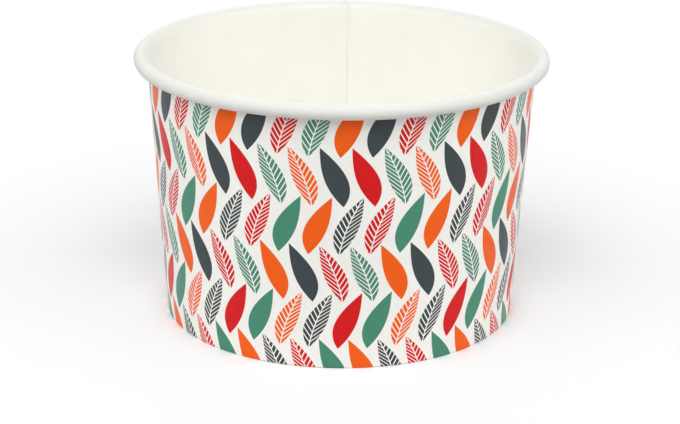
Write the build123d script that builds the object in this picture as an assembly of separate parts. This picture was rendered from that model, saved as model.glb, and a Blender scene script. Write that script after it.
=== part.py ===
from build123d import *
from math import acos, asin, atan2, ceil, cos, degrees, hypot, radians, sin, tan
import os

# A round paper ice cream cup, in millimetres. Z is up, the axis of the cup is Z and it stands on
# z = 0. It is made of two pieces of coated board:
#   side_wall  one fan-shaped blank, wrapped into a cone and lapped along a side seam. Its top edge is
#              rolled outward into the rim, and its bottom edge is folded in and up into a hem.
#   base       one disc whose edge is drawn down into a skirt, sealed between the wall and the hem.

# Overall form
cup_height = 75.0          # rest plane to the top of the rolled rim
rim_diameter = 115.0       # over the rolled rim
base_diameter = 98.8       # over the wall, at the rest plane

# Board and the clearance left at its sealed faces
wall_board = 0.40
base_board = 0.35
seal_gap = 0.05

# Rolled rim
roll_height = 4.0          # height of the roll, from its underside to its top
roll_gap = 0.05            # between the roll's inner turn and the lapped wall
inner_turn = 70.0          # degrees that the roll turns on inside, past its underside

# Hem at the foot
hem_height = 8.0           # cut edge of the hem above the rest plane
fold_room = 0.10           # between the foot of the base's skirt and the bottom of the fold

# Lapped side seam, at the back of the cup
seam_angle = 88.4          # where the inner layer's cut edge shows inside, from +X round towards +Y
lap_width = 7.0            # overlap of the two edges, measured along the wall's foot
lap_rise = 0.30            # what the outer layer stands out by, once pressed
ramp_width = 1.4           # width over which the outer layer climbs on to the inner one

# Base
base_level = 10.0          # upper face of the base above the rest plane
base_bend = 0.90           # outside radius where the base turns down into its skirt

# Rounds are drawn as chords, which keeps the mesh of such thin board light
chord_error = 0.06         # the most that a chord leaves its arc by

# Worked out from the sizes above
rim_radius = rim_diameter / 2
base_radius = base_diameter / 2
half_board = wall_board / 2
roll_radius = (roll_height - wall_board) / 2
turn_radius = roll_radius - lap_rise - wall_board - roll_gap
roll_centre = Vector(rim_radius - roll_height / 2, cup_height - roll_height / 2)
hem_inset = wall_board + base_board + 2 * seal_gap
skirt_out = -half_board - seal_gap

# The wall's printed face runs from the foot's outer corner to touch the inside of the roll, and that
# sets how far it leans out. In a section, X is the radius and Y is the height.
reach = roll_centre - Vector(base_radius, 0)
lean = atan2(reach.X, reach.Y) - asin((roll_radius - half_board) / hypot(reach.X, reach.Y))
wall_up = Vector(sin(lean), cos(lean))
wall_out = Vector(cos(lean), -sin(lean))
wall_top = roll_centre - wall_out * roll_radius


def wall_point(out, height):
    """A point on the line that lies 'out' from the middle of the wall's board, at a height."""
    start = wall_top + wall_out * out
    return start - wall_up * ((start.Y - height) / cos(lean))


def chord_count(radius, turn):
    """How many chords follow an arc of 'turn' degrees to within the chord error."""
    step = 2 * degrees(acos(1 - min(chord_error / radius, 1)))
    return ceil(turn / step)


def chord_points(arc, count):
    """The ends of equal chords along an arc."""
    return [arc @ (i / count) for i in range(count + 1)]


def bend_points(corner, before, after, radius):
    """The round at a corner, where a line that runs along 'before' turns left to run along 'after'."""
    if radius == 0:
        return [corner]
    turn = before.get_angle(after)
    setback = radius * tan(radians(turn / 2))
    arc = JernArc(corner - before * setback, before, radius, turn)
    return chord_points(arc, chord_count(radius, turn))


def sheet_line(lift, side):
    """One line along the wall's board in section, from the hem's cut edge to the end of the roll.

    'side' is the distance from the middle of the board, positive towards the printed face. 'lift' is
    how far the board has climbed over another layer, towards its printed face. The pressed foot
    stays on the rest plane whatever the lift.
    """
    out = lift + side
    foot = half_board - side
    bend = half_board + side
    hem_edge = wall_point(0, hem_height) - wall_out * (hem_inset + out)
    hem_bend = bend_points(wall_point(-hem_inset - out, foot), -wall_up, Vector(1, 0), bend)
    wall_bend = bend_points(wall_point(out, foot), Vector(1, 0), wall_up, bend)

    over = 270 - degrees(lean)
    roll = JernArc(wall_top + wall_out * out, wall_up, roll_radius - out, -over)
    inner = JernArc(roll @ 1, roll % 1, turn_radius - out, -inner_turn)
    roll_points = chord_points(roll, chord_count(roll_radius - side, over))
    inner_points = chord_points(inner, chord_count(turn_radius - side, inner_turn))
    return [hem_edge, *hem_bend, *wall_bend, *roll_points, *inner_points[1:]]


def section(one_side, other_side):
    """The closed outline between two lines that run the same way."""
    return make_face(Polyline(*one_side, *reversed(other_side), close=True))


def at_angle(outline, angle):
    """A section stood up on the cup's axis and turned to an angle round it."""
    upright = Plane.XZ * outline
    return Rot(0, 0, angle) * upright


def swept(outline, start, sweep):
    """A section swept round the cup's axis, from one angle on."""
    return revolve(at_angle(outline, start), axis=Axis.Z, revolution_arc=sweep)


def make_side_wall():
    """The wrapped blank. From its cut edge inside it runs nearly all the way round as one layer, then
    climbs on to its own start and lies over it as the outer layer of the lap."""
    lap = degrees(lap_width / base_radius)
    ramp = degrees(ramp_width / base_radius)
    layer = section(sheet_line(0, -half_board), sheet_line(0, half_board))
    lifted_layer = section(sheet_line(lap_rise, -half_board), sheet_line(lap_rise, half_board))
    sealed_layer = section(sheet_line(0, 0), sheet_line(lap_rise, half_board))
    run = swept(layer, seam_angle, 360 - ramp)
    climb = loft([at_angle(layer, seam_angle - ramp), at_angle(lifted_layer, seam_angle)], ruled=True)
    return run + swept(sealed_layer, seam_angle, lap) + climb


def base_line(out, height):
    """One face of the base in section, from the foot of its skirt to the axis."""
    foot = wall_board + fold_room
    corner = wall_point(out, height)
    radius = base_bend + out - skirt_out
    return [wall_point(out, foot), *bend_points(corner, wall_up, Vector(-1, 0), radius), (0, height)]


def make_base():
    """The base: a flat disc, bent down at its edge into a skirt that lies along the wall."""
    upper = base_line(skirt_out, base_level)
    lower = base_line(skirt_out - base_board, base_level - base_board)
    return swept(section(upper, lower), 0, 360)


os.makedirs("parts", exist_ok=True)
export_step(make_side_wall(), "parts/side_wall.step")
export_step(make_base(), "parts/base.step")
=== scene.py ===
from math import atan2, asin, cos, degrees, hypot, pi, radians, sin, tan

import bpy
from mathutils import Matrix, Vector


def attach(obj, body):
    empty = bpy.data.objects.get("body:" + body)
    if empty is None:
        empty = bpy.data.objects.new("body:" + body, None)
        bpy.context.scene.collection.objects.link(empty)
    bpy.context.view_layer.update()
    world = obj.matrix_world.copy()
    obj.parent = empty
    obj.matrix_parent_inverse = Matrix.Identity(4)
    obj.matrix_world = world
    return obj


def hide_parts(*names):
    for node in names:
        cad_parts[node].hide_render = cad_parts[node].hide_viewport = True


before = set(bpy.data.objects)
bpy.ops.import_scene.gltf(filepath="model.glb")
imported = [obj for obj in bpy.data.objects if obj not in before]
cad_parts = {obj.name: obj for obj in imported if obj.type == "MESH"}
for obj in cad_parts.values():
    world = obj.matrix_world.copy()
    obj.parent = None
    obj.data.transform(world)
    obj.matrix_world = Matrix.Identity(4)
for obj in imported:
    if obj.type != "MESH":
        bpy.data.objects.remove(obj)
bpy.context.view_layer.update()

# A round paper ice cream cup in metres, Z up, standing on z = 0, with its axis on Z. Both of its
# pieces are one board each, drawn here as a section and wrapped round the axis by one tree of nodes.
MM = 0.001

# Overall form
cup_height = 75.0 * MM
rim_diameter = 115.0 * MM
base_diameter = 98.8 * MM

# Board, in thickness, and the clearance at its sealed faces
wall_board = 0.40 * MM
base_board = 0.35 * MM
seal_gap = 0.05 * MM

# Rolled rim. Past the roll's underside the board turns on inside the roll, by 'inner_turn' degrees.
roll_height = 4.0 * MM
roll_gap = 0.05 * MM
inner_turn = 70.0

# Hem at the foot, the radius of its two folds at the middle of the board, and the room that the
# folded board leaves under the base's skirt
hem_height = 8.0 * MM
fold_radius = 0.27 * MM
fold_room = 0.10 * MM

# Lapped side seam at the back. Over the ramp the board climbs on to its own start, and it is pressed
# thinner where two layers lie together. The seam's place is in degrees round from the X axis.
seam_angle = 88.4
lap_width = 7.0 * MM
lap_rise = 0.30 * MM
ramp_width = 1.4 * MM
glue_line = 0.01 * MM
press_fade = 1.25            # laps round at which the first layer has its full thickness again
lift_level = 1.0 * MM        # below it the outer layer is not lifted, so that both stand on the ground

# Base
base_level = 10.0 * MM
base_bend = 0.90 * MM

# Print on the wall. Leaves lean by 'leaf_tilt' degrees.
print_columns = 40
print_drift = 0.04           # columns that the print is out by where the seam closes
print_row = 13.6 * MM
leaf_length = 16.4 * MM
leaf_width = 6.6 * MM
leaf_tilt = 21.0
leaf_bow = 0.9 * MM          # how far a leaf's tips lie to one side of its middle
leaf_belly = 0.22            # how much fuller a leaf is below its middle, and slimmer above
vein_pitch = 1.45 * MM
vein_width = 0.34 * MM
vein_climb = 1.1             # how steeply the side veins leave the midrib
vein_reach = 0.42            # how far they go towards each tip, as a share of the leaf's length
midrib_half = 0.4            # half of the midrib, as a share of a vein's width
ink_edge = 0.05 * MM

# Spans that each stretch of a section is divided into
hem_spans = 5
fold_spans = 9
wall_spans = 22
roll_spans = 40
turn_spans = 12
skirt_spans = 6
bend_spans = 12
disc_spans = 16

# Degrees round between two columns of faces. The base closes on itself: its ramp is level, and only
# marks where its last columns are.
wall_step = 0.9
lap_step = 0.3
base_step = 1.5
base_ramp = 9.0

merge_distance = 2e-6
sharp_angle = 40.0           # degrees between two faces past which their edge is a cut one

# Worked out from the sizes above
rim_radius = rim_diameter / 2
base_radius = base_diameter / 2
half_board = wall_board / 2
roll_radius = (roll_height - wall_board) / 2
turn_radius = roll_radius - lap_rise - wall_board - roll_gap
roll_centre = Vector((rim_radius - roll_height / 2, cup_height - roll_height / 2))
hem_inset = wall_board + base_board + 2 * seal_gap
reach = roll_centre - Vector((base_radius, 0))
lean = atan2(reach.x, reach.y) - asin((roll_radius - half_board) / hypot(reach.x, reach.y))
wall_up = Vector((sin(lean), cos(lean)))
wall_out = Vector((cos(lean), -sin(lean)))
wall_top = roll_centre - wall_out * roll_radius
wall_length = wall_top.y / cos(lean)
lap = degrees(lap_width / base_radius)
ramp = degrees(ramp_width / base_radius)
rim_pitch = 2 * pi * rim_radius / print_columns

# Heights along the board between which the roll's painted shade, a greyer tone, sets in, and the base's
# puckers deepen and die away
roll_painted_shade_start = (wall_length - 0.3 * MM, wall_length + MM)
pucker_start = (base_level - 3 * MM, base_level - MM)
pucker_end = (base_level + MM, base_level + 4 * MM)


def linear(*tone):
    """A colour for a shader from its 0 to 255 screen values."""
    shares = [level / 255 for level in tone]
    return (*[s / 12.92 if s <= 0.04045 else ((s + 0.055) / 1.055) ** 2.4 for s in shares], 1.0)


def grey(level):
    """An even grey for a shader, from 0 for black to 1 for white."""
    return (level, level, level, 1.0)


# Inks and board, as 0 to 255 screen values
ink_red = linear(217, 14, 20)
ink_orange = linear(248, 97, 7)
ink_green = linear(71, 140, 115)
ink_charcoal = linear(59, 69, 72)
ground_tone = linear(252, 251, 245)
white_tone = linear(247, 246, 239)
# The roll's tone is painted shade: the same white board as the inside, painted greyer
roll_painted_shade_tone = linear(228, 228, 223)
fibre_shade = linear(237, 233, 224)
fibre_light = linear(246, 244, 237)

# Coated board: its clouds, the relief that shows through the coating, and its gloss. A noise's
# detail is its number of finer layers and how strong each is beside the one before.
cloud_size = 7 * MM
cloud_detail = (4.0, 0.55)
cloud_shade = 0.975          # the tone of the clouds, as a share of the board's
peel_size = 0.9 * MM
peel_share = 0.7
grain_size = 0.22 * MM
grain_share = 0.3
relief_depth = 0.012 * MM
coat_gloss = 0.2

# Roughness of each finish, in patches from its smoothest to its roughest
white_roughness = (0.55, 0.65)
base_roughness = (0.42, 0.52)
print_roughness = (0.36, 0.44)
fibre_roughness = (0.80, 0.95)
coat_patch = 2.5 * MM
varnish_patch = 3 * MM
ink_shine = 0.05             # how much smoother the varnish lies on ink
middle_noise = (0.3, 0.7)    # the stretch that nearly all of a noise lies in

# Cut edge of the board
fibre_size = 0.12 * MM
fibre_detail = (3.0, 0.7)
fibre_depth = 0.03 * MM

# Puckers of the base where its edge is drawn down
pucker_count = 120
pucker_depth = 0.05 * MM
pucker_patch = 4 * MM
pucker_sway = 9              # radians that the patches shift the puckers by


def operator(operation):
    """A method that adds one Math node for a socket and the values that follow it."""
    return lambda *values: maths(operation, *values)


def reflected(operation):
    """The same for an operator whose other value stands before the socket."""
    return lambda socket, other: maths(operation, other, socket)


class Socket:
    """An output of a node. Arithmetic on it adds the Math nodes that work the result out."""

    def __init__(self, graph, output):
        self.graph = graph
        self.output = output

    __add__ = operator("ADD")
    __radd__ = reflected("ADD")
    __sub__ = operator("SUBTRACT")
    __rsub__ = reflected("SUBTRACT")
    __mul__ = operator("MULTIPLY")
    __rmul__ = reflected("MULTIPLY")
    __truediv__ = operator("DIVIDE")
    __rtruediv__ = reflected("DIVIDE")
    __lt__ = operator("LESS_THAN")
    __gt__ = operator("GREATER_THAN")
    __abs__ = operator("ABSOLUTE")
    round_down = operator("FLOOR")
    round_up = operator("CEIL")
    fraction = operator("FRACT")
    modulo = operator("FLOORED_MODULO")
    smaller = operator("MINIMUM")
    larger = operator("MAXIMUM")
    sine = operator("SINE")
    cosine = operator("COSINE")

    def ranged(self, low, high, start=0.0, end=1.0, shape="LINEAR"):
        """'start' up to 'low', 'end' from 'high' on, and a slope of the given shape between them."""
        limits = {"Value": self, "From Min": low, "From Max": high, "To Min": start, "To Max": end}
        return self.graph.node("ShaderNodeMapRange", {"interpolation_type": shape}, limits)


def maths(operation, *values):
    """One Math node for values of which at least one is a socket."""
    graph = next(value.graph for value in values if isinstance(value, Socket))
    return graph.node("ShaderNodeMath", {"operation": operation}, dict(enumerate(values)))


class Graph:
    """A node tree that is written from top to bottom, one node a call."""

    def __init__(self, tree):
        self.tree = tree

    def node(self, kind, settings=None, sockets=None, output=0):
        """Adds a node with its settings, then its sockets' values or links, and gives one output."""
        made = self.tree.nodes.new(kind)
        for name, value in (settings or {}).items():
            setattr(made, name, value)
        for key, value in (sockets or {}).items():
            self.join(value, find(made.inputs, key))
        return Socket(self, find(made.outputs, output))

    def other(self, socket, output):
        """Another output of the node that a socket belongs to."""
        return Socket(self, find(socket.output.node.outputs, output))

    def join(self, value, entry):
        """Links a socket to a node's entry, or sets the entry to a plain value."""
        if isinstance(value, Socket):
            self.tree.links.new(value.output, entry)
        else:
            entry.default_value = value

    def distance(self, place, other):
        return self.node("ShaderNodeVectorMath", {"operation": "DISTANCE"},
                         {0: place, 1: other}, "Value")

    def combine(self, x, y, z):
        return self.node("ShaderNodeCombineXYZ", None, {"X": x, "Y": y, "Z": z})

    def separate(self, value):
        x = self.node("ShaderNodeSeparateXYZ", None, {0: value}, "X")
        return x, self.other(x, "Y"), self.other(x, "Z")


def find(sockets, key):
    """A socket by its place, its identifier or its name."""
    if isinstance(key, int):
        return sockets[key]
    return next((s for s in sockets if s.identifier == key), None) or sockets[key]


# Section lines. In a section, x is the radius and y is the height.

def arc(centre, radius, start, turn, spans):
    """Points along an arc. Angles are in degrees, and a positive turn goes left."""
    angles = [radians(start + turn * i / spans) for i in range(spans + 1)]
    return [centre + radius * Vector((cos(a), sin(a))) for a in angles]


def fold(corner, before, after, radius, spans):
    """The round at a corner, where a line that runs along 'before' turns left to run along 'after'."""
    turn = degrees(before.angle(after))
    left = Vector((-before.y, before.x))
    centre = corner - before * (radius * tan(radians(turn / 2))) + left * radius
    start = degrees(atan2(-left.y, -left.x))
    return arc(centre, radius, start, turn, spans)


def straight(start, end, spans):
    """Points between two others, without either."""
    return [start.lerp(end, i / spans) for i in range(1, spans)]


def wall_point(out, height):
    """A point on the line that lies 'out' from the middle of the wall's board, at a height."""
    start = wall_top + wall_out * out
    return start - wall_up * ((start.y - height) / cos(lean))


def wall_section():
    """The middle of the wall's board, from the hem's cut edge round the foot, up and over the roll.
    Also how many of its points come before the wall."""
    level = Vector((1, 0))
    hem_edge = wall_point(0, hem_height) - wall_out * hem_inset
    hem_fold = fold(wall_point(-hem_inset, half_board), -wall_up, level, fold_radius, fold_spans)
    wall_fold = fold(wall_point(0, half_board), level, wall_up, fold_radius, fold_spans)
    over = 270 - degrees(lean)
    roll = arc(roll_centre, roll_radius, 180 - degrees(lean), -over, roll_spans)
    turn_centre = Vector((roll_centre.x, roll[-1].y + turn_radius))
    inner = arc(turn_centre, turn_radius, -90, -inner_turn, turn_spans)
    hem = [hem_edge, *straight(hem_edge, hem_fold[0], hem_spans), *hem_fold, *wall_fold]
    wall = straight(wall_fold[-1], wall_top, wall_spans)
    return [*hem, *wall, *roll, *inner[1:]], len(hem)


def base_section():
    """The middle of the base's board, from the foot of its skirt up and in to the axis."""
    middle = base_board / 2
    out = -half_board - seal_gap - middle
    foot = wall_point(out, wall_board + fold_room)
    level = base_level - middle
    bend = fold(wall_point(out, level), wall_up, Vector((-1, 0)), base_bend - middle, bend_spans)
    centre = Vector((0, level))
    skirt = straight(foot, bend[0], skirt_spans)
    disc = straight(bend[-1], centre, disc_spans)
    return [foot, *skirt, *bend, *disc, centre]


def section_object(name, points):
    """A section line as a curve that stands in the XZ plane."""
    curve = bpy.data.curves.new(name, "CURVE")
    curve.dimensions = "3D"
    line = curve.splines.new("POLY")
    line.points.add(len(points) - 1)
    for place, point in zip(line.points, points):
        place.co = (point.x, 0, point.y, 1)
    piece = bpy.data.objects.new(name, curve)
    bpy.context.scene.collection.objects.link(piece)
    return piece


# Inputs of the wrapping tree, and what its mesh carries only while it is made
wrap_sizes = ("Board", "Start", "Lap", "Ramp", "Rise", "Glue Line", "Foot", "Lift Level", "Step",
              "Lap Step")
wrap_finishes = ("Inner Finish", "Outer Finish", "Edge Finish")
spare_attributes = ("across", "inner", "outer", "outer_face", "cut_edge")


def wrapping_tree():
    """Wraps the middle line of a board round the axis, laps its end over its start and gives it its
    thickness. Angles are in degrees. A board that closes on itself has no lap and no rise."""
    tree = bpy.data.node_groups.new("wrapped_board", "GeometryNodeTree")
    tree.interface.new_socket("Section", in_out="INPUT", socket_type="NodeSocketGeometry")
    for name in wrap_sizes:
        tree.interface.new_socket(name, in_out="INPUT", socket_type="NodeSocketFloat")
    for name in wrap_finishes:
        tree.interface.new_socket(name, in_out="INPUT", socket_type="NodeSocketMaterial")
    tree.interface.new_socket("Piece", in_out="OUTPUT", socket_type="NodeSocketGeometry")

    graph = Graph(tree)
    section = graph.node("NodeGroupInput", None, None, "Section")
    board, start, lapped, climb, rise, glue, foot, level, step, fine_step = [
        graph.other(section, name) for name in wrap_sizes]
    inner_finish, outer_finish, edge_finish = [graph.other(section, name) for name in wrap_finishes]

    # One row of the grid for each point of the section, and one column for each step round
    run = 360 - climb
    run_steps = (run / step).round_up()
    lap_steps = ((climb + lapped) / fine_step).round_up()
    rows = graph.node("GeometryNodeAttributeDomainSize", {"component": "CURVE"}, {"Geometry": section},
                      "Point Count")
    columns = run_steps + lap_steps + 1
    grid = graph.node("GeometryNodeMeshGrid", None,
                      {"Size X": 1.0, "Size Y": 1.0, "Vertices X": rows, "Vertices Y": columns}, "Mesh")
    grid = graph.node("GeometryNodeFlipFaces", None, {"Mesh": grid})
    index = graph.node("GeometryNodeInputIndex")
    row = ((index + 0.5) / columns).round_down()
    column = index - row * columns

    def along(value, kind):
        """What a field says at the section's point of the same row."""
        return graph.node("GeometryNodeSampleIndex", {"data_type": kind, "domain": "POINT"},
                          {"Geometry": section, "Value": value, "Index": row})

    # The board faces outwards at a right angle to its heading, on the right of it
    middle = along(graph.node("GeometryNodeInputPosition"), "FLOAT_VECTOR")
    heading = along(graph.node("GeometryNodeInputTangent"), "FLOAT_VECTOR")
    length = along(graph.node("GeometryNodeSplineParameter", None, None, "Length"), "FLOAT")
    radius, _, height = graph.separate(middle)
    heading_out, _, facing_out = graph.separate(heading)
    facing_up = 0 - heading_out

    # How far round a column is, and how far its board has climbed over the first layer
    turned = (column.smaller(run_steps) * (run / run_steps)
              + (column - run_steps).larger(0.0) * ((climb + lapped) / lap_steps))
    lift = turned.ranged(run, 360.0, 0.0, rise, "SMOOTHSTEP")
    angle = (turned + start) * (pi / 180)
    lifted_radius = radius + facing_out * lift
    lifted_height = height + facing_up * lift * (height > level)

    def round_axis(out, up):
        """A vector in a section, turned to its column's angle."""
        return graph.combine(out * angle.cosine(), out * angle.sine(), up)

    sheet = graph.node("GeometryNodeSetPosition", None,
                       {"Geometry": grid, "Position": round_axis(lifted_radius, lifted_height)})

    # Both faces, from the middle of the board. Pressed layers share the height of the lap.
    squeeze = (board - rise + glue) * 0.5 * (rise > 0)
    first = turned.ranged(lapped, lapped * press_fade, 1.0, 0.0)
    last = turned.ranged(run, 360.0, 0.0, 1.0, "SMOOTHSTEP")
    place = graph.node("GeometryNodeFieldOnDomain", {"data_type": "FLOAT_VECTOR", "domain": "POINT"},
                       {"Value": graph.combine(turned / 360, length - foot, 0.0)})
    for name, kind, domain, value in (
            ("across", "FLOAT_VECTOR", "POINT", round_axis(facing_out, facing_up)),
            ("inner", "FLOAT", "POINT", squeeze * last - board / 2),
            ("outer", "FLOAT", "POINT", board / 2 - squeeze * first),
            ("board", "FLOAT2", "CORNER", place)):
        sheet = graph.node("GeometryNodeStoreNamedAttribute", {"data_type": kind, "domain": domain},
                           {"Geometry": sheet, "Name": name, "Value": value})

    def merged(geometry):
        return graph.node("GeometryNodeMergeByDistance", None,
                          {"Geometry": geometry, "Distance": merge_distance})

    def stored(name, kind):
        return graph.node("GeometryNodeInputNamedAttribute", {"data_type": kind}, {"Name": name})

    def moved(geometry, distance):
        """A geometry moved across the board by a distance."""
        offset = graph.node("ShaderNodeVectorMath", {"operation": "SCALE"},
                            {"Vector": stored("across", "FLOAT_VECTOR"), "Scale": distance})
        return graph.node("GeometryNodeSetPosition", None, {"Geometry": geometry, "Offset": offset})

    # The outer face and the cut edges are raised from the sheet, which then becomes the inner face
    sheet = merged(sheet)
    raised = graph.node("GeometryNodeExtrudeMesh", {"mode": "FACES"},
                        {"Mesh": sheet, "Offset Scale": 0.0, "Individual": False}, "Mesh")
    top = graph.other(raised, "Top")
    side = graph.other(raised, "Side")
    for name, value in (("outer_face", top), ("cut_edge", side)):
        raised = graph.node("GeometryNodeStoreNamedAttribute",
                            {"data_type": "BOOLEAN", "domain": "FACE"},
                            {"Geometry": raised, "Name": name, "Value": value})
    inner = stored("inner", "FLOAT")
    front = moved(raised, inner + (stored("outer", "FLOAT") - inner) * top)
    back = graph.node("GeometryNodeFlipFaces", None, {"Mesh": moved(sheet, inner)})
    whole = graph.node("GeometryNodeJoinGeometry")
    both_faces = find(whole.output.node.inputs, "Geometry")
    graph.join(front, both_faces)
    graph.join(back, both_faces)
    whole = merged(whole)

    # Smooth faces, with sharp edges only where the board is cut
    whole = graph.node("GeometryNodeSetShadeSmooth", {"domain": "FACE"}, {"Geometry": whole})
    bend = graph.node("GeometryNodeInputMeshEdgeAngle", None, None, "Unsigned Angle")
    whole = graph.node("GeometryNodeSetShadeSmooth", {"domain": "EDGE"},
                       {"Geometry": whole, "Selection": bend > radians(sharp_angle),
                        "Shade Smooth": False})

    whole = graph.node("GeometryNodeRealizeInstances", None, {"Geometry": whole})
    whole = graph.node("GeometryNodeSetMaterial", None, {"Geometry": whole, "Material": inner_finish})
    for name, finish in (("outer_face", outer_finish), ("cut_edge", edge_finish)):
        whole = graph.node("GeometryNodeSetMaterial", None,
                           {"Geometry": whole, "Selection": stored(name, "BOOLEAN"),
                            "Material": finish})
    graph.join(whole, tree.nodes.new("NodeGroupOutput").inputs["Piece"])
    return tree


def wrapped(name, points, tree, inputs):
    """A board piece: its section, wrapped by the tree with these inputs, as a plain mesh."""
    line = section_object(name + "_section", points)
    modifier = line.modifiers.new("wrap", "NODES")
    modifier.node_group = tree
    sockets = {s.name: s.identifier for s in tree.interface.items_tree if s.in_out == "INPUT"}
    for key, value in inputs.items():
        modifier[sockets[key]] = value
    view = bpy.context.evaluated_depsgraph_get()
    mesh = bpy.data.meshes.new_from_object(line.evaluated_get(view))
    mesh.name = name
    for spare in spare_attributes:
        mesh.attributes.remove(mesh.attributes[spare])
    while None in mesh.materials[:]:
        mesh.materials.pop(index=mesh.materials[:].index(None))
    bpy.data.objects.remove(line)
    piece = bpy.data.objects.new(name, mesh)
    bpy.context.scene.collection.objects.link(piece)
    return piece


# Finishes

def new_finish(name, **settings):
    """A material with one surface shader, its uniform values set on the shader's own sockets."""
    finish = bpy.data.materials.new(name)
    finish.use_nodes = True
    graph = Graph(finish.node_tree)
    surface = finish.node_tree.nodes["Principled BSDF"]
    for key, value in settings.items():
        surface.inputs[key.replace("_", " ")].default_value = value
    return finish, graph, surface.inputs


def object_place(graph):
    return graph.node("ShaderNodeTexCoord", None, None, "Object")


def board_place(graph):
    """How far round the board a point is, as a share of a turn, and how far up along the board it is
    from the wall's foot, or from the foot of the base's skirt."""
    around, up, _ = graph.separate(graph.node("ShaderNodeUVMap", {"uv_map": "board"}))
    return around, up


def noise(graph, place, size, detail=2.0, roughness=0.5):
    """Even noise from 0 to 1, whose grains measure about 'size'."""
    grain = {"Vector": place, "Scale": 1 / size, "Detail": detail, "Roughness": roughness}
    return graph.node("ShaderNodeTexNoise", None, grain, "Fac")


def patches(graph, place, size, low, high):
    """A slow change between two values, in patches that measure about 'size'."""
    return noise(graph, place, size).ranged(*middle_noise, low, high)


def mix(graph, share, first, second):
    return graph.node("ShaderNodeMix", {"data_type": "RGBA"},
                      {"Factor_Float": share, "A_Color": first, "B_Color": second}, "Result_Color")


def bump(graph, height, depth):
    return graph.node("ShaderNodeBump", None, {"Strength": 1.0, "Distance": depth, "Height": height})


def coated_tone(graph, place, tone):
    """The tone of coated board: slightly cloudy, as its fibres lie thicker and thinner."""
    cloud = noise(graph, place, cloud_size, *cloud_detail).ranged(*middle_noise)
    deep = tuple(level * cloud_shade for level in tone[:3]) + (1.0,)
    return mix(graph, cloud, deep, tone)


def coated_relief(graph, place):
    """The relief that shows through the coating: a soft orange peel with the fibres' grain on it."""
    return noise(graph, place, peel_size) * peel_share + noise(graph, place, grain_size) * grain_share


def white_coated():
    """The coated white face of the board: the inside of the cup and the outside of the roll. The roll
    is the
    same board with painted shade: a greyer tone."""
    finish, graph, surface = new_finish("white_coated_board", Specular_IOR_Level=coat_gloss)
    place = object_place(graph)
    _, up = board_place(graph)
    board = coated_tone(graph, place, white_tone)
    # Painted shade: from the top of the wall on, the board takes the roll's greyer tone
    roll = coated_tone(graph, place, roll_painted_shade_tone)
    graph.join(mix(graph, up.ranged(*roll_painted_shade_start), board, roll), surface["Base Color"])
    graph.join(patches(graph, place, coat_patch, *white_roughness), surface["Roughness"])
    graph.join(bump(graph, coated_relief(graph, place), relief_depth), surface["Normal"])
    return finish


def raw_edge():
    """A cut edge of the board: bare fibres in layers, with no coating."""
    finish, graph, surface = new_finish("cut_board_edge")
    fibre = noise(graph, object_place(graph), fibre_size, *fibre_detail)
    graph.join(mix(graph, fibre, fibre_shade, fibre_light), surface["Base Color"])
    graph.join(fibre.ranged(0.0, 1.0, *fibre_roughness), surface["Roughness"])
    graph.join(bump(graph, fibre, fibre_depth), surface["Normal"])
    return finish


def leaves(around, up, pitch, shift, side):
    """One of the two sets of leaves, in rows two print rows apart. 'shift' moves it half a step round
    and one row up, and its leaves lean to one side. Gives how far inside a leaf's outline a point is,
    its place on the leaf and the leaf's number round and up."""
    band = up / (2 * print_row) + shift
    rise = (band.fraction() - 0.5) * (2 * print_row)
    share = rise / (leaf_length / 2)
    bow = (share * share - 1 / 3) * leaf_bow
    swing = (rise * tan(radians(leaf_tilt)) + bow) * side
    count = around * (print_columns + print_drift) - swing / pitch + shift + print_columns
    across = (count.fraction() - 0.5) * pitch
    belly = (1 - share * share) * (1 - leaf_belly * share)
    inside = belly * (pitch / rim_pitch) * (leaf_width / 2) - abs(across)
    return inside, across, rise, count.round_down(), band.round_down()


def veins(across, rise):
    """The unprinted lines of a leaf: a midrib, and veins that rise from it to both sides. Its tips
    have none of these side veins."""
    midrib = 1 - abs(across).ranged(vein_width * midrib_half, vein_width * midrib_half + ink_edge)
    comb = abs(((rise - abs(across) * vein_climb) / vein_pitch).fraction() - 0.5)
    line = 1 - comb.ranged(vein_width / 2 / vein_pitch, (vein_width / 2 + ink_edge) / vein_pitch)
    return midrib.larger(line * (abs(rise) < leaf_length * vein_reach))


def ink_colour(graph, number):
    """One of the four inks, in turn."""
    inks = (ink_red, ink_green, ink_orange, ink_charcoal)
    ramp_node = graph.node("ShaderNodeValToRGB", None,
                           {"Fac": ((number + 0.5) / len(inks)).fraction()}, "Color")
    stops = ramp_node.output.node.color_ramp
    stops.interpolation = "CONSTANT"
    for i, ink in enumerate(inks):
        stop = stops.elements[i] if i < 2 else stops.elements.new(i / len(inks))
        stop.position = i / len(inks)
        stop.color = ink
    return ramp_node


def printed():
    """The printed face: a cream ground and rows of leaves in four inks, under a satin varnish. Two
    leaves in four are veined, and each row and set begins at another ink."""
    finish, graph, surface = new_finish("printed_board", Specular_IOR_Level=coat_gloss)
    place = object_place(graph)
    around, up = board_place(graph)
    pitch = (up * sin(lean) + base_radius) * (2 * pi / print_columns)
    tone = coated_tone(graph, place, ground_tone)
    covers = []
    for shift, side in ((0.0, 1), (0.5, -1)):
        inside, across, rise, number, band = leaves(around, up, pitch, shift, side)
        veined = ((number / 2).round_down() + band).modulo(2.0)
        cover = inside.ranged(0.0, ink_edge) * (1 - veins(across, rise) * veined)
        tone = mix(graph, cover, tone, ink_colour(graph, number + band * 3 + shift * 2))
        covers.append(cover)
    graph.join(tone, surface["Base Color"])
    varnish = patches(graph, place, varnish_patch, *print_roughness)
    graph.join(varnish - covers[0].larger(covers[1]) * ink_shine, surface["Roughness"])
    graph.join(bump(graph, coated_relief(graph, place), relief_depth), surface["Normal"])
    return finish


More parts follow.
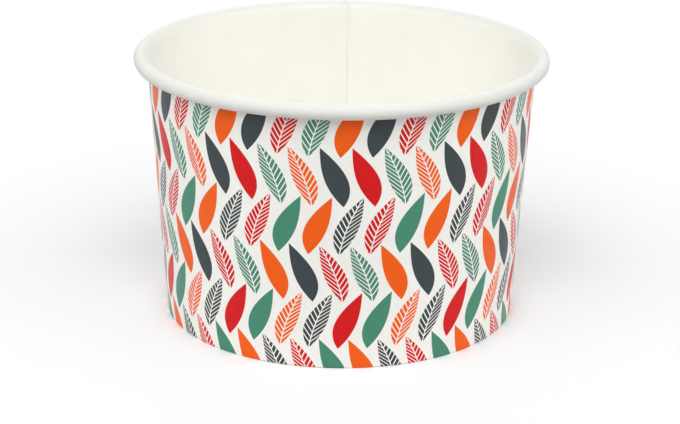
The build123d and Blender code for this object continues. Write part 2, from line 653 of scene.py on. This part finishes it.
def coated_base():
    """The base's coated board, with the fine puckers that its edge takes where it is drawn down."""
    finish, graph, surface = new_finish("base_coated_board", Specular_IOR_Level=coat_gloss)
    place = object_place(graph)
    around, up = board_place(graph)
    graph.join(coated_tone(graph, place, white_tone), surface["Base Color"])
    graph.join(patches(graph, place, coat_patch, *base_roughness), surface["Roughness"])
    near = up.ranged(*pucker_start) * up.ranged(*pucker_end, 1.0, 0.0)
    uneven = noise(graph, place, pucker_patch)
    pucker = (around * (2 * pi * pucker_count) + uneven * pucker_sway).sine() * near
    relief = coated_relief(graph, place) * (relief_depth / MM) + pucker * (pucker_depth / MM)
    graph.join(bump(graph, relief, MM), surface["Normal"])
    return finish


# Build the two pieces
tree = wrapping_tree()
white_face = white_coated()
print_face = printed()
cut_face = raw_edge()
base_face = coated_base()

points, before_wall = wall_section()
foot_length = sum((b - a).length for a, b in zip(points, points[1:before_wall]))
side_wall = wrapped("cup_wall", points, tree, {
    "Board": wall_board, "Start": seam_angle, "Lap": lap, "Ramp": ramp, "Rise": lap_rise,
    "Glue Line": glue_line, "Foot": foot_length, "Lift Level": lift_level, "Step": wall_step,
    "Lap Step": lap_step, "Inner Finish": white_face, "Outer Finish": print_face,
    "Edge Finish": cut_face})
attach(side_wall, "root")
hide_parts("side_wall")

base = wrapped("cup_base", base_section(), tree, {
    "Board": base_board, "Start": 0.0, "Lap": 0.0, "Ramp": base_ramp, "Rise": 0.0,
    "Glue Line": 0.0, "Foot": 0.0, "Lift Level": 0.0, "Step": base_step,
    "Lap Step": base_step, "Inner Finish": base_face, "Outer Finish": base_face,
    "Edge Finish": cut_face})
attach(base, "root")
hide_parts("base")


# Floor, light and camera

# How much light the floor sends back to the cup. Close to the foot it sends more.
floor_tone = grey(0.57)
foot_tone = grey(0.74)
foot_bounce = (base_radius + 12 * MM, base_radius + 50 * MM)

# What the floor looks like. It turns plain white between two distances from the middle of the shadow,
# a little behind the cup. A narrow ring round the foot keeps its shade, also in front of the cup.
floor_white = (0.873, 0.881, 0.894, 1.0)
floor_fade = (0.040, 0.140)
shadow_centre = (0.0, 0.035, 0.0)
contact_shade = 6.0 * MM
floor_reach = 4.0

# How strongly the sky lights the cup. To the eye and in reflections it is white.
sky_level = 0.02

# How far off the soft lamps stand, and how wide they are
lamp_distance = 1.2
lamp_size = 0.9


def seen_rays(graph):
    """Whether a ray comes from the camera, and whether it does or shows a reflection or what lies
    behind glass."""
    path = graph.node("ShaderNodeLightPath", None, None, "Is Camera Ray")
    seen = path.larger(graph.other(path, "Is Glossy Ray"))
    return path, seen.larger(graph.other(path, "Is Transmission Ray"))


def floor():
    """A pale floor, white to look at away from the cup. Near the cup it keeps the cup's shadow."""
    mesh = bpy.data.meshes.new("floor")
    corners = [(x * floor_reach, y * floor_reach, 0) for x, y in ((-1, -1), (1, -1), (1, 1), (-1, 1))]
    mesh.from_pydata(corners, [], [(0, 1, 2, 3)])
    piece = bpy.data.objects.new("floor", mesh)
    bpy.context.scene.collection.objects.link(piece)
    finish, graph, surface = new_finish("floor_paper", Roughness=0.9)
    camera_ray, seen = seen_rays(graph)
    place = object_place(graph)
    from_shadow = graph.distance(place, shadow_centre)
    from_axis = graph.distance(place, (0.0, 0.0, 0.0))
    bounce = mix(graph, from_axis.ranged(*foot_bounce), foot_tone, floor_tone)
    graph.join(mix(graph, seen, bounce, floor_white), surface["Base Color"])
    share = from_shadow.ranged(*floor_fade) * from_axis.ranged(base_radius, base_radius + contact_shade)
    glow = graph.node("ShaderNodeEmission", None, {"Color": grey(1.0), "Strength": 1.0})
    paper = Socket(graph, finish.node_tree.nodes["Principled BSDF"].outputs[0])
    both = graph.node("ShaderNodeMixShader", None, {"Fac": share * camera_ray, 1: paper, 2: glow})
    graph.join(both, finish.node_tree.nodes["Material Output"].inputs["Surface"])
    mesh.materials.append(finish)


def sky():
    """An even white sky: white to look at and in reflections, and softer as a light."""
    world = bpy.data.worlds.new("studio")
    world.use_nodes = True
    bpy.context.scene.world = world
    graph = Graph(world.node_tree)
    _, seen = seen_rays(graph)
    back = world.node_tree.nodes["Background"].inputs
    back["Color"].default_value = grey(1.0)
    graph.join(seen.ranged(0.0, 1.0, sky_level, 1.0), back["Strength"])


def lamp(name, azimuth, elevation, power):
    """A square soft lamp, aimed at the middle of the cup. Azimuth 0 is on the camera's side, and
    azimuth 90 to its right. Power is in watts."""
    light = bpy.data.lights.new(name, "AREA")
    light.size = lamp_size
    light.energy = power
    piece = bpy.data.objects.new(name, light)
    a, e = radians(azimuth), radians(elevation)
    back = Vector((sin(a) * cos(e), -cos(a) * cos(e), sin(e)))
    piece.location = Vector((0, 0, cup_height / 2)) + back * lamp_distance
    piece.rotation_euler = back.to_track_quat("Z", "Y").to_euler()
    bpy.context.scene.collection.objects.link(piece)


floor()
sky()
lamp("front_lamp", 0, 48, 6.7)
lamp("left_front_lamp", -40, 55, 4.6)
lamp("right_front_lamp", 40, 55, 2.2)
lamp("left_lamp", -80, 25, 4.5)
lamp("right_lamp", 80, 25, 5.9)
lamp("back_lamp", 180, 45, 4.5)

# The camera stands in front of the cup and looks down on it, turned very slightly on its own axis.
# Both turns are in degrees.
camera_distance = 536.4 * MM
camera_height = 217.2 * MM
look_down = 19.548
camera_turn = 0.650
photo_width = 680
focal_pixels = 1994.4

camera = bpy.data.objects.new("camera", bpy.data.cameras.new("camera"))
bpy.context.scene.collection.objects.link(camera)
camera.data.sensor_width = 36.0
camera.data.lens = focal_pixels / photo_width * camera.data.sensor_width
camera.data.clip_start = 0.01
camera.data.clip_end = 20.0
aim = Matrix.Rotation(radians(90 - look_down), 4, "X") @ Matrix.Rotation(radians(camera_turn), 4, "Z")
camera.matrix_world = Matrix.Translation((0, -camera_distance, camera_height)) @ aim
bpy.context.scene.camera = camera
bpy.context.scene.view_settings.view_transform = "Standard"
